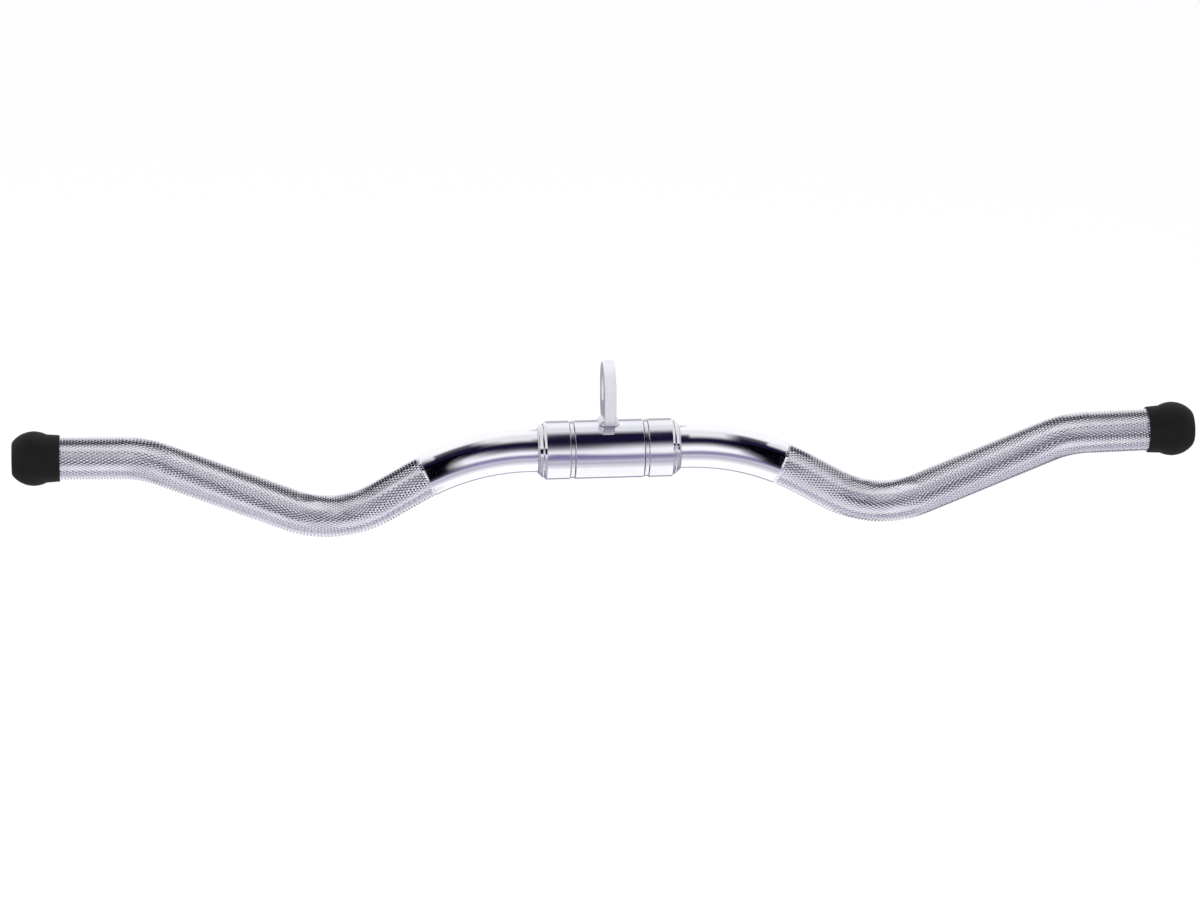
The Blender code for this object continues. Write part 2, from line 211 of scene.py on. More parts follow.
def turnedTo(side):
    # what is made for the right stays as it is, and is turned round for the left
    return Matrix.Identity(4) if side > 0 else Matrix.Rotation(math.pi, 4, "Z")


def onAxis(side):
    # lays a turned piece on the bar's axis, with its own X pointing away from the middle
    return Matrix.Translation((0, 0, axisHeight)) @ turnedTo(side)


def roundCorner(side, wall, radius, lean=0.0):
    # the corner, for filletMesh, between a flat wall at a place along X and a round one on the axis
    def cornerAt(distance):
        turn = distance / radius - lean
        out = Vector((0, math.sin(turn), math.cos(turn)))
        return Vector((side * wall, 0, axisHeight)) + out * radius, Vector((side, 0, 0)), out

    return cornerAt


def stationsOf(node):
    # how far from the middle a turned node starts and ends, and its radius
    low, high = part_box(node)
    ends = sorted((abs(low.x), abs(high.x)))
    return ends[0], ends[1], (high.y - low.y) / 2


# The view: the camera stands at the photograph's angle, a little to the left of the bar and above it

view = {
    "azimuth": -5.2,        # degrees to the left
    "elevation": 17.0,
    "distance": 2.98,
    "lens": 149.1,          # on the sensor's width, both in millimetres
    "sensor": 36,
    "near": 0.1,            # the camera sees from here
    "far": 60,              # to here
    "aimLeft": 4.9 * mm,    # the bar's middle lies this far right of the picture's middle
    "aimUp": -0.75 * mm,
}


def makeCamera():
    turn, rise = math.radians(view["azimuth"]), math.radians(view["elevation"])
    back = Vector((math.sin(turn) * math.cos(rise), -math.cos(turn) * math.cos(rise), math.sin(rise)))
    right = Vector((math.cos(turn), math.sin(turn), 0))
    up = back.cross(right)
    aim = Vector((0, 0, axisHeight)) - right * view["aimLeft"] + up * view["aimUp"]
    data = bpy.data.cameras.new("camera")
    data.lens = view["lens"]
    data.sensor_width = view["sensor"]
    data.clip_start = view["near"]
    data.clip_end = view["far"]
    camera = newObject("camera", data)
    camera.location = aim + back * view["distance"]
    camera.rotation_euler = back.to_track_quat("Z", "Y").to_euler()
    bpy.context.scene.camera = camera


makeCamera()
print("camera placed")

# The studio: a white room and floor, soft light from above, and the cards that the chrome mirrors

studio = {
    "floorDrop": 0.55,      # under the eye
    "floorSize": 24.0,
    "floorColour": "#E6E6E8",
    "floorGlow": 0.34,
    "roomColour": "#F6F6FA",
    "roomLight": 0.85,
    "keyPower": 20.0,
    "keySize": 1.6,
    "keyPlace": (-1.0, -1.2, 2.4),
    "cardDistance": 1.6,    # from the bar, where the card doesn't name its own
    "cardSpacing": 0.02,    # each card hangs this much nearer than the one before it
    "cardStep": 5,          # degrees between the rows that are put in to make an even arc
}

# A card's rows run upwards as (degrees, cover, left end, right end, soft): 0 degrees is level in front of
# the bar, 90 overhead and 180 behind, and both ends fade over the soft width, or each over its own. A card
# with the same ends in every row gives them once, as its span. The cards that name a distance hang near
# the bar, so that each of them darkens one stretch of it and not the others.
ceilingColour = "#1E1836"
ceilingRows = [(46, 0), (54, 1), (73, 1), (80, 0.75), (86, 0.4), (94, 0)]
shadeRows = [(3, 0), (9, 0.15), (14, 0.35), (23, 0.6), (32, 0.75), (44, 0.8), (52, 0)]
gripRows = [(50, 0), (56, 0.9), (96, 0.9), (104, 0.6), (112, 0)]
cards = {
    "lowerGrey": {"colour": "#C9C7D1", "span": (-6, 6, 0.6), "rows": [
        (-150, 0), (-136, 1), (-66, 1), (-54, 0)]},
    "lowerLight": {"colour": "#FFFFFF", "strength": 1.3, "rows": [
        (-140, 0, -0.5, 0.6, 0.2), (-122, 1, -0.5, 0.6, 0.2), (-66, 1, -0.4, 0.55, 0.15),
        (-52, 0, -0.35, 0.5, 0.15)]},
    "upperLight": {"colour": "#FFFFFF", "strength": 1.2, "span": (-0.9, 1.2, 0.2), "rows": [
        (108, 0), (122, 1), (170, 1), (182, 0)]},
    "backCard": {"colour": "#9A98A8", "span": (-4, 4, 0.6), "rows": [
        (-178, 0), (-165, 1), (-140, 1), (-122, 0)]},
    "frontLight": {"colour": "#FFFDFF", "strength": 1.22, "span": (-2.4, 2.4, 0.4), "rows": [
        (-10, 0), (0, 1), (34, 1), (46, 0)]},
    "violetCard": {"colour": "#958DB4", "rows": [
        (-60, 0, -2.5, 2.5, 0.3), (-47, 0.3, -2.5, 2.5, 0.3), (-40, 0.6, -2.5, 2.5, 0.3),
        (-36, 0.45, -2.5, 2.5, 0.3), (-29, 0.5, -2.5, 2.5, 0.3), (-22, 0.9, -0.55, 0.65, 0.15),
        (-13, 1, -0.55, 0.65, 0.15), (-6, 0.4, -0.55, 0.65, 0.15), (1, 0, -0.55, 0.65, 0.15)]},
    "violetRise": {"colour": "#7F78A8", "rows": [
        (-18, 0, 0.065, 0.145, 0.01, 0.03), (-12, 0.8, 0.065, 0.14, 0.01, 0.03),
        (-6, 1, 0.065, 0.125, 0.01, 0.03), (0, 0.6, 0.065, 0.115, 0.01, 0.03),
        (6, 0, 0.065, 0.11, 0.01, 0.03)]},
    "leftFloorShade": {"colour": "#55535F", "span": (-3, -1, 0.15), "rows": [
        (-72, 0), (-60, 0.6), (-50, 1), (-20, 1), (-10, 0.8), (2, 0.2), (8, 0)]},
    "rightFloorShade": {"colour": "#4A4854", "rows": [
        (-80, 0, 1.4, 3, 0.12), (-68, 0.7, 1.4, 3, 0.12), (-55, 1, 1.4, 3, 0.12), (-20, 1, 1.4, 3, 0.12),
        (-12, 0.8, 1.5, 3, 0.12), (0, 0, 1.5, 3, 0.12)]},
    "ceilingCard": {"colour": ceilingColour, "span": (-2.8, 2.8, 0.3), "rows": [
        (42, 0), (47, 0.7), (52, 1), (57, 1), (62, 0.9), (66, 0.75), (71, 0.45), (77, 0.15), (83, 0)]},
    "leftCeiling": {"colour": ceilingColour, "span": (-2.8, -0.14, 0.3, 0.22), "rows": [
        (46, 0), (54, 1), (74, 1), (81, 0.75), (86, 0.4), (94, 0)]},
    "farLeftCeiling": {"colour": ceilingColour, "span": (-2.8, -0.75, 0.3, 0.2), "rows": [
        (33, 0), (38, 0.6), (44, 1), (90, 1), (100, 0.7), (110, 0)]},
    "farRightCeiling": {"colour": ceilingColour, "span": (1.1, 2.8, 0.2, 0.3), "rows": [
        (36, 0), (41, 0.6), (46, 1), (90, 1), (100, 0.7), (110, 0)]},
    "middleCeiling": {"colour": ceilingColour, "span": (0.05, 0.2, 0.01), "rows": ceilingRows},
    "rightCeiling": {"colour": ceilingColour, "span": (0.48, 2.8, 0.15, 0.3), "rows": ceilingRows},
    "ceilingEdge": {"colour": ceilingColour, "span": (-0.5, 0.75, 0.15), "rows": [
        (14, 0), (19, 0.2), (25, 0.42), (33, 0.75), (40, 0.95), (47, 1), (54, 1), (60, 0)]},
    "leftShade": {"colour": ceilingColour, "span": (-0.22, 0.14, 0.12, 0.05), "rows": shadeRows},
    "rightShade": {"colour": ceilingColour, "span": (0.28, 0.75, 0.15, 0.1), "rows": shadeRows},
    "topGrey": {"colour": "#A9A8B4", "span": (0.04, 0.18, 0.01), "rows": [
        (146, 0), (158, 0.8), (182, 0.8), (190, 0)]},
    "farLeftShade": {"colour": "#2A2735", "span": (-3, -1.5, 0.15), "rows": [
        (-8, 0), (2, 0.9), (24, 0.9), (36, 0)]},
    "greyCard": {"colour": "#8C8A96", "rows": [
        (-42, 0, 0.24, 0.32, 0.04), (-33, 0.4, 0.24, 0.36, 0.04), (-17, 0.9, 0.24, 0.42, 0.05),
        (-7, 1, 0.27, 0.47, 0.05), (6, 1, 0.31, 0.54, 0.05), (15, 1, 0.35, 0.6, 0.05),
        (22, 0.7, 0.4, 0.64, 0.06), (30, 0, 0.44, 0.66, 0.06)]},
    "leftGripShade": {
        "colour": ceilingColour, "distance": 0.52, "span": (-0.36, -0.15, 0.01, 0.07), "rows": gripRows},
    "rightGripShade": {
        "colour": ceilingColour, "distance": 0.52, "span": (0.22, 0.4, 0.06, 0.01), "rows": gripRows},
    "rightGripFloor": {"colour": "#2A2834", "distance": 0.52, "span": (0.2, 0.36, 0.02, 0.01), "rows": [
        (-94, 0), (-86, 0.7), (-78, 1), (-63, 1), (-57, 0)]},
    "leftWing": {"colour": "#06040C", "distance": 0.5, "rows": [
        (-30, 0, -0.095, -0.044, 0.006, 0.012), (-24, 0.6, -0.093, -0.044, 0.006, 0.012),
        (-15, 0.95, -0.115, -0.062, 0.006, 0.02), (-7, 1, -0.143, -0.08, 0.006, 0.024),
        (0, 1, -0.171, -0.096, 0.006, 0.03), (7, 1, -0.2, -0.116, 0.008, 0.036),
        (15, 1, -0.23, -0.133, 0.008, 0.042), (22, 1, -0.26, -0.148, 0.008, 0.05),
        (30, 1, -0.29, -0.155, 0.01, 0.06), (38, 1, -0.316, -0.155, 0.01, 0.07),
        (54, 1, -0.36, -0.155, 0.01, 0.07), (62, 0, -0.38, -0.155, 0.01, 0.07)]},
    "rightWing": {"colour": "#06040C", "distance": 0.5, "rows": [
        (-30, 0, 0.138, 0.175, 0.008, 0.006), (-24, 0.45, 0.136, 0.176, 0.008, 0.006),
        (-20, 0.65, 0.138, 0.178, 0.01, 0.006), (-13, 0.9, 0.156, 0.2, 0.014, 0.006),
        (-5, 1, 0.174, 0.226, 0.018, 0.006), (1, 1, 0.188, 0.258, 0.026, 0.006),
        (10, 1, 0.2, 0.29, 0.035, 0.008), (17, 1, 0.2, 0.32, 0.045, 0.008),
        (25, 1, 0.2, 0.35, 0.05, 0.01), (33, 1, 0.2, 0.38, 0.06, 0.01), (40, 1, 0.2, 0.405, 0.07, 0.01),
        (54, 1, 0.2, 0.45, 0.08, 0.01), (62, 0, 0.2, 0.47, 0.08, 0.01)]},
    "leftEnd": {"colour": "#0B0716", "span": (-60, -6.2, 0.5), "rows": [
        (-62, 0), (-52, 1), (50, 1), (66, 0)]},
    "rightEnd": {"colour": "#0B0716", "span": (6.2, 60, 0.5), "rows": [
        (-62, 0), (-52, 1), (246, 1), (260, 0)]},
}


def seenDirectly(tree):
    # 1 for rays from the camera or from metal and glass, which see white, and 0 for the light on the part
    path = addNode(tree, "ShaderNodeLightPath")
    mirrored = addNode(tree, "ShaderNodeMath", {"operation": "ADD"},
                       {0: path.outputs["Is Glossy Ray"], 1: path.outputs["Is Transmission Ray"]})
    seen = addNode(tree, "ShaderNodeMath", {"operation": "ADD", "use_clamp": True},
                   {0: path.outputs["Is Camera Ray"], 1: mirrored.outputs[0]})
    return seen.outputs[0]


def makeFloor():
    half = studio["floorSize"] / 2
    height = -studio["floorDrop"]
    corners = [(-half, -half, height), (half, -half, height), (half, half, height), (-half, half, height)]
    mesh = bpy.data.meshes.new("floor")
    mesh.from_pydata(corners, [], [(0, 1, 2, 3)])
    floor = newObject("floor", mesh)
    floor.visible_glossy = False        # the chrome sees the white room and the cards below it instead
    material, tree, shader, _ = newMaterial("white floor paint", {
        "Base Color": linearColour(studio["floorColour"]),
        "Roughness": 0.9,
        "Specular IOR Level": 0.1,
        "Emission Color": (1, 1, 1, 1),
    })
    glow = addNode(tree, "ShaderNodeMath", {"operation": "MULTIPLY", 1: studio["floorGlow"]},
                   {0: seenDirectly(tree)})
    tree.links.new(glow.outputs[0], shader.inputs["Emission Strength"])
    mesh.materials.append(material)


def makeRoom():
    world = bpy.data.worlds.new("white room")
    bpy.context.scene.world = world
    world.use_nodes = True
    tree = world.node_tree
    tree.nodes.clear()
    light = addNode(tree, "ShaderNodeBackground",
                    {"Color": linearColour(studio["roomColour"]), "Strength": studio["roomLight"]})
    white = addNode(tree, "ShaderNodeBackground", {"Color": (1, 1, 1, 1), "Strength": 1.0})
    pick = addNode(tree, "ShaderNodeMixShader", None,
                   {0: seenDirectly(tree), 1: light.outputs[0], 2: white.outputs[0]})
    addNode(tree, "ShaderNodeOutputWorld", None, {"Surface": pick.outputs[0]})


def cardRows(card):
    # the rows of a card with more between them, so that it hangs as an even arc
    rows = [(*row, *card.get("span", ())) for row in card["rows"]]
    full = [rows[0]]
    for low, high in zip(rows, rows[1:]):
        steps = math.ceil((high[0] - low[0]) / studio["cardStep"])
        for step in range(1, steps + 1):
            full.append(tuple(a + (b - a) * step / steps for a, b in zip(low, high)))
    return full


def makeCard(name, card, distance):
    points, covers, faces = [], [], []
    for degrees, cover, left, right, *softs in cardRows(card):
        turn = math.radians(degrees)
        y, z = -distance * math.cos(turn), axisHeight + distance * math.sin(turn)
        for x, share in ((left, 0), (left + softs[0], 1), (right - softs[-1], 1), (right, 0)):
            points.append((x, y, z))
            covers.append(cover * share)
    for row in range(0, len(points) - 4, 4):        # four points in each row
        for a in range(row, row + 3):
            faces.append((a, a + 1, a + 5, a + 4))
    mesh = bpy.data.meshes.new(name)
    mesh.from_pydata(points, [], faces)
    attribute = mesh.attributes.new("cover", "FLOAT", "POINT")
    attribute.data.foreach_set("value", covers)
    material = bpy.data.materials.new(f"{name} cloth")
    material.use_nodes = True
    material.cycles.emission_sampling = "NONE"
    tree = material.node_tree
    tree.nodes.clear()
    cover = addNode(tree, "ShaderNodeAttribute", {"attribute_name": "cover"})
    cloth = addNode(tree, "ShaderNodeEmission",
                    {"Color": linearColour(card["colour"]), "Strength": card.get("strength", 1.0)})
    clear = addNode(tree, "ShaderNodeBsdfTransparent")
    mix = addNode(tree, "ShaderNodeMixShader", None,
                  {0: cover.outputs["Fac"], 1: clear.outputs[0], 2: cloth.outputs[0]})
    addNode(tree, "ShaderNodeOutputMaterial", None, {"Surface": mix.outputs[0]})
    mesh.materials.append(material)
    hung = newObject(name, mesh)
    hung.visible_camera = False         # only the chrome's mirror images show the cards
    hung.visible_diffuse = False
    hung.visible_shadow = False


def makeKeyLight():
    data = bpy.data.lights.new("key softbox", "AREA")
    data.shape = "SQUARE"
    data.size = studio["keySize"]
    data.energy = studio["keyPower"]
    key = newObject("key softbox", data)
    key.location = studio["keyPlace"]
    fromBar = Vector(key.location) - Vector((0, 0, axisHeight))
    key.rotation_euler = fromBar.to_track_quat("Z", "Y").to_euler()
    key.visible_camera = False
    key.visible_glossy = False


makeFloor()
makeRoom()
for order, (cardName, card) in enumerate(cards.items()):
    shared = studio["cardDistance"] - order * studio["cardSpacing"]
    makeCard(cardName, card, card.get("distance", shared))
makeKeyLight()
bpy.context.scene.view_settings.view_transform = "Standard"
print("studio lit, with", len(cards), "cards")

# Materials, each named for what the real one is


def polishedChrome(name, colour, roughness, peel, smudge):
    # decorative chrome over polished steel: a mirror, with a faint peel in the plate and finger smudges
    material, tree, shader, place = newMaterial(name, {"Metallic": 1.0})
    smudges = addNode(tree, "ShaderNodeTexNoise",
                      {"Scale": 1 / (22 * mm), "Detail": 5.0, "Roughness": 0.65}, {"Vector": place})
    rough = addNode(tree, "ShaderNodeMapRange",
                    {"From Min": 0.35, "From Max": 0.75, "To Min": roughness, "To Max": roughness + smudge},
                    {"Value": smudges.outputs["Fac"]})
    tree.links.new(rough.outputs[0], shader.inputs["Roughness"])
    tone = addNode(tree, "ShaderNodeValToRGB", None, {"Fac": smudges.outputs["Fac"]})
    darker = [c * 0.93 for c in linearColour(colour)[:3]]
    setRamp(tone, [(0.35, linearColour(colour)), (0.8, (*darker, 1.0))])
    tree.links.new(tone.outputs["Color"], shader.inputs["Base Color"])
    orangePeel = addNode(tree, "ShaderNodeTexNoise", {"Scale": 1 / (3.5 * mm), "Detail": 2.0},
                         {"Vector": place})
    bump = addNode(tree, "ShaderNodeBump", {"Strength": peel, "Distance": 0.05 * mm},
                   {"Height": orangePeel.outputs["Fac"]})
    tree.links.new(bump.outputs["Normal"], shader.inputs["Normal"])
    return material


def knurledChrome():
    # chrome over a rolled diamond knurl: the flats still mirror a little, and the grooves are darkened by a
    # painted shade, made patchy like a grey film
    material, tree, shader, place = newMaterial("knurled chrome plate", {"Metallic": 1.0})
    groove = addNode(tree, "ShaderNodeAttribute", {"attribute_name": "grooveDepth"})
    film = addNode(tree, "ShaderNodeTexNoise", {"Scale": 1 / (9 * mm), "Detail": 6.0, "Roughness": 0.7},
                   {"Vector": place})
    # painted shade: the groove's depth times a patchy film noise, which darkens the tone and roughens the
    # chrome in the grooves
    grooveShadeAndFilm = addNode(tree, "ShaderNodeMath", {"operation": "MULTIPLY"},
                     {0: groove.outputs["Fac"], 1: film.outputs["Fac"]})
    tone = addNode(tree, "ShaderNodeValToRGB", None, {"Fac": grooveShadeAndFilm.outputs[0]})
    setRamp(tone, [(0.0, linearColour("#F0EFF4")), (0.55, linearColour("#CBCAD3"))])
    tree.links.new(tone.outputs["Color"], shader.inputs["Base Color"])
    rough = addNode(tree, "ShaderNodeMapRange", {"To Min": 0.1, "To Max": 0.2},
                    {"Value": grooveShadeAndFilm.outputs[0]})
    tree.links.new(rough.outputs[0], shader.inputs["Roughness"])
    return material


def platedWeld():
    # chrome over an uneven weld: bright, with pits and a duller skin in the hollows
    material, tree, shader, place = newMaterial("chrome plated weld", {"Metallic": 1.0, "Roughness": 0.2})
    pits = addNode(tree, "ShaderNodeTexNoise", {"Scale": 1 / (0.9 * mm), "Detail": 4.0}, {"Vector": place})
    tone = addNode(tree, "ShaderNodeValToRGB", None, {"Fac": pits.outputs["Fac"]})
    setRamp(tone, [(0.3, linearColour("#B4B3BC")), (0.6, linearColour("#DCDBE2"))])
    tree.links.new(tone.outputs["Color"], shader.inputs["Base Color"])
    bump = addNode(tree, "ShaderNodeBump", {"Strength": 0.35, "Distance": 0.2 * mm},
                   {"Height": pits.outputs["Fac"]})
    tree.links.new(bump.outputs["Normal"], shader.inputs["Normal"])
    return material


def cutPlateChrome():
    # chrome over laser-cut plate: the faces are bright, and the cut edges scatter the light to a pale satin
    material = polishedChrome("chrome over cut plate", "#F2F1F6", roughness=0.08, peel=0.25, smudge=0.08)
    tree = material.node_tree
    shader = tree.nodes["Principled BSDF"]
    facing = addNode(tree, "ShaderNodeSeparateXYZ", None,
                     {0: addNode(tree, "ShaderNodeTexCoord").outputs["Normal"]})
    sideways = addNode(tree, "ShaderNodeMath", {"operation": "ABSOLUTE"}, {0: facing.outputs["X"]})
    for socket, edge, face in (("Roughness", 0.45, 0.28), ("Metallic", 0.12, 1.0)):
        blend = addNode(tree, "ShaderNodeMapRange",
                        {"From Min": 0.4, "From Max": 0.9, "To Min": edge, "To Max": face},
                        {"Value": sideways.outputs[0]})
        tree.links.new(blend.outputs[0], shader.inputs[socket])
    return material


def groundSteel():
    # ground washer steel, lapped nearly bright: a fine grain that dulls it in places
    material, tree, shader, place = newMaterial("ground steel", {
        "Metallic": 1.0,
        "Base Color": linearColour("#DCDBE2"),
    })
    grain = addNode(tree, "ShaderNodeTexNoise", {"Scale": 1 / (0.5 * mm), "Detail": 3.0}, {"Vector": place})
    rough = addNode(tree, "ShaderNodeMapRange", {"To Min": 0.08, "To Max": 0.2},
                    {"Value": grain.outputs["Fac"]})
    tree.links.new(rough.outputs[0], shader.inputs["Roughness"])
    return material


def mouldedRubber():
    # carbon-black rubber out of a blasted mould: a matt grain about 0.4 mm across, with a dusty bloom
    material, tree, shader, place = newMaterial("moulded black rubber", {
        "Roughness": 0.72,
        "Specular IOR Level": 0.22,
        "IOR": 1.52,
    })
    bloom = addNode(tree, "ShaderNodeTexNoise", {"Scale": 1 / (11 * mm), "Detail": 6.0, "Roughness": 0.6},
                    {"Vector": place})
    tone = addNode(tree, "ShaderNodeValToRGB", None, {"Fac": bloom.outputs["Fac"]})
    setRamp(tone, [(0.35, linearColour("#141312")), (0.8, linearColour("#1E1D1C"))])
    tree.links.new(tone.outputs["Color"], shader.inputs["Base Color"])
    grit = addNode(tree, "ShaderNodeTexNoise", {"Scale": 1 / (0.8 * mm), "Detail": 3.0}, {"Vector": place})
    bump = addNode(tree, "ShaderNodeBump", {"Strength": 0.3, "Distance": 0.1 * mm},
                   {"Height": grit.outputs["Fac"]})
    tree.links.new(bump.outputs["Normal"], shader.inputs["Normal"])
    return material


def sinteredBronze():
    # pressed and sintered bronze, open-pored and dark with oil
    material, tree, shader, place = newMaterial("oiled sintered bronze", {
        "Metallic": 1.0,
        "Roughness": 0.45,
    })
    pores = addNode(tree, "ShaderNodeTexNoise", {"Scale": 1 / (0.7 * mm), "Detail": 4.0}, {"Vector": place})
    tone = addNode(tree, "ShaderNodeValToRGB", None, {"Fac": pores.outputs["Fac"]})
    setRamp(tone, [(0.35, linearColour("#6E5326")), (0.65, linearColour("#B08A4A"))])
    tree.links.new(tone.outputs["Color"], shader.inputs["Base Color"])
    return material


def blackenedSteel():
    # black oxide on alloy steel: nearly black, slightly brown where it is thin
    material, tree, shader, place = newMaterial("black oxide steel", {"Metallic": 1.0, "Roughness": 0.38})
    wear = addNode(tree, "ShaderNodeTexNoise", {"Scale": 1 / (1.6 * mm), "Detail": 5.0}, {"Vector": place})
    tone = addNode(tree, "ShaderNodeValToRGB", None, {"Fac": wear.outputs["Fac"]})
    setRamp(tone, [(0.4, linearColour("#1E1E20")), (0.75, linearColour("#3A3633"))])
    tree.links.new(tone.outputs["Color"], shader.inputs["Base Color"])
    return material


barChrome = polishedChrome("polished chrome bar plate", "#E8E8EE", roughness=0.035, peel=0.05, smudge=0.05)
sleeveChrome = polishedChrome("polished chrome tube plate", "#E0E0E8", roughness=0.03, peel=0.05, smudge=0.05)
plateChrome = cutPlateChrome()
ringChrome = polishedChrome("chrome over turned ring", "#E0E0E7", roughness=0.05, peel=0.08, smudge=0.06)
gripChrome = knurledChrome()
weldChrome = platedWeld()
washerSteel = groundSteel()
capRubber = mouldedRubber()
bushBronze = sinteredBronze()
screwBlack = blackenedSteel()
print("materials made")

# The bar's centreline, with the same bends as its solid

bends = {
    "centreStraight": 47.9 * mm,
    "innerSlope": 29.5,     # degrees, as are the outer slope and the end's rise
    "innerRadius": 140 * mm,
    "innerStraight": 22.6 * mm,
    "valleyRadius": 62.5 * mm,
    "outerSlope": 21.9,
    "outerStraight": 80.9 * mm,
    "outerRadius": 71.8 * mm,
    "endRise": 1.0,
}
barRadius = (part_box("bar")[1].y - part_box("bar")[0].y) / 2
capRim = abs(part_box("end_cap_right")[0].x)
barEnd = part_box("bar")[1].x


def barStretches():
    # each straight and the bend after it: (length, radius, turn), with an endless straight last
    inner, outer, rise = (math.radians(bends[k]) for k in ("innerSlope", "outerSlope", "endRise"))
    return [
        (bends["centreStraight"], bends["innerRadius"], -inner),
        (bends["innerStraight"], bends["valleyRadius"], inner + outer),
        (bends["outerStraight"], bends["outerRadius"], rise - outer),
        (math.inf, 1.0, 0.0),
    ]


def alongBar(distance):
    # the centreline's point (x, z) and heading at a distance from the middle
    x, z, heading = 0.0, axisHeight, 0.0
    left = distance
    for straight, radius, turn in barStretches():
        go = min(left, straight)
        x += go * math.cos(heading)
        z += go * math.sin(heading)
        left -= go
        if left <= 0:
            break
        sweep = math.copysign(min(left / radius, abs(turn)), turn)
        x += math.copysign(radius, turn) * (math.sin(heading + sweep) - math.sin(heading))
        z -= math.copysign(radius, turn) * (math.cos(heading + sweep) - math.cos(heading))
        heading += sweep
        left -= abs(sweep) * radius
        if left <= 1e-12:
            break
    return x, z, heading


def distanceAt(target):
    # the distance from the middle at which the centreline reaches an x
    low, high = 0.0, 2 * target
    for _ in range(60):     # halvings, which bring it far below a micron
        middle = (low + high) / 2
        if alongBar(middle)[0] < target:
            low = middle
        else:
            high = middle
    return low


def barPoint(distance, turn, radius, side=1):
    # a point on the bar: turn 0 is the top, and it grows towards the back
    x, z, heading = alongBar(abs(distance))
    lift = radius * math.cos(turn)
    x -= lift * math.sin(heading)
    z += lift * math.cos(heading)
    return (math.copysign(x, distance) if distance else x) * side, radius * math.sin(turn), z


# The polished middle of the bar, between the grips

polish = {
    "endLeft": 108 * mm,    # where each knurl begins, measured along X
    "endRight": 103 * mm,
    "segments": 96,
    "ringStep": 2 * mm,
    "endGroove": 0.2 * mm,  # the small chamfer against the knurl
}
knurlStart = {-1: distanceAt(polish["endLeft"]), 1: distanceAt(polish["endRight"])}


def makePolishedBar():
    groove = polish["endGroove"]
    first, last = groove - knurlStart[-1], knurlStart[1] - groove
    rings = [(first - groove, barRadius - groove)]
    count = round((last - first) / polish["ringStep"])
    for i in range(count + 1):
        rings.append((first + (last - first) * i / count, barRadius))
    rings.append((last + groove, barRadius - groove))
    segments = polish["segments"]
    points = []
    for distance, radius in rings:
        points += [barPoint(distance, fullTurn * i / segments, radius) for i in range(segments)]
    faces = []
    for near in range(0, len(points) - segments, segments):
        far = near + segments
        for i in range(segments):
            j = (i + 1) % segments
            faces.append([near + i, near + j, far + j, far + i])
    faces.append(list(range(segments)))
    faces.append(list(range(len(points) - segments, len(points))))
    mesh = meshFrom("barPolishedMiddle", points, faces, sharpDegrees=40)
    addPiece("barPolishedMiddle", mesh, barChrome, "bar", "bar_chrome", "bar")


# The grips: real diamonds with flat tops, cut into the bar

knurl = {
    "diamondsRound": 48,    # about 1.7 mm wide; a real knurl is nearer 1.4 mm, too fine to show
    "diamondLength": 3.6 * mm,
    "depth": 0.3 * mm,
    "crestDrop": 0.04 * mm,
    "flatShare": 0.3,       # how much of a diamond is left flat
    "startLip": 0.2 * mm,
    "underCap": 4 * mm,     # how far the knurl runs on under the cap
    "endChamfer": 1.5 * mm,
    "sharpDegrees": 8,
}


def knurledGrip(side):
    columns = 2 * knurl["diamondsRound"]
    lip = knurl["startLip"]
    start = knurlStart[side] + lip
    stop = distanceAt(capRim) + knurl["underCap"]
    rows = 2 * round((stop - start) / knurl["diamondLength"])
    step = (stop - start) / rows
    across = fullTurn / columns
    flat = knurl["flatShare"]
    crest = barRadius - knurl["crestDrop"]
    valley = crest - knurl["depth"]
    points = []
    depths = []
    faces = []

    def put(row, column, radius, depth):
        points.append(barPoint(start + row * step, column * across, radius, side))
        depths.append(depth)
        return len(points) - 1

    def ring(distance, radius):
        first = len(points)
        for i in range(columns):
            points.append(barPoint(distance, i * across, radius, side))
            depths.append(0.0)
        return [first + i for i in range(columns)]

    def band(near, far):
        for i in range(columns):
            j = (i + 1) % columns
            faces.append([near[i], near[j], far[j], far[i]])

    inner = ring(knurlStart[side], barRadius - lip)
    first = ring(start, crest)
    band(inner, first)
    last = ring(stop, crest)
    endDistance = distanceAt(barEnd)
    shoulder = ring(endDistance - knurl["endChamfer"], barRadius)
    end = ring(endDistance, barRadius - knurl["endChamfer"])
    band(last, shoulder)
    band(shoulder, end)
    faces.append(list(inner))
    faces.append(list(end))

    # grooves cross at the odd points of the grid, and a diamond stands on each even one
    grooves = {(0, i): first[i] for i in range(columns)}
    grooves.update({(rows, i): last[i] for i in range(columns)})
    for row in range(1, rows):
        for i in range(columns):
            if (row + i) % 2:
                grooves[row, i] = put(row, i, valley, 1.0)
    for row in range(1, rows):
        for i in range(columns):
            if (row + i) % 2 == 0:
                j, h = (i + 1) % columns, (i - 1) % columns
                east = put(row, i + flat, crest, 0.0)
                west = put(row, i - flat, crest, 0.0)
                north = put(row + flat, i, crest, 0.0)
                south = put(row - flat, i, crest, 0.0)
                faces.append([east, north, west, south])
                faces.append([east, grooves[row, j], grooves[row + 1, i], north])
                faces.append([north, grooves[row + 1, i], grooves[row, h], west])
                faces.append([west, grooves[row, h], grooves[row - 1, i], south])
                faces.append([south, grooves[row - 1, i], grooves[row, j], east])
    for edgeRow, inwards in ((0, 1), (rows, -1)):
        for i in range(columns):
            if (edgeRow + i) % 2 == 0:
                j, h = (i + 1) % columns, (i - 1) % columns
                faces.append([grooves[edgeRow, h], grooves[edgeRow, i], grooves[edgeRow + inwards, i]])
                faces.append([grooves[edgeRow, i], grooves[edgeRow, j], grooves[edgeRow + inwards, i]])
    mesh = bpy.data.meshes.new("gripKnurl")
    mesh.from_pydata(points, [], faces)
    # the groove depth, which the grip's material reads to paint shade into the grooves
    attribute = mesh.attributes.new("grooveDepth", "FLOAT", "POINT")
    attribute.data.foreach_set("value", depths)
    cleanMesh(mesh, knurl["sharpDegrees"])
    return mesh


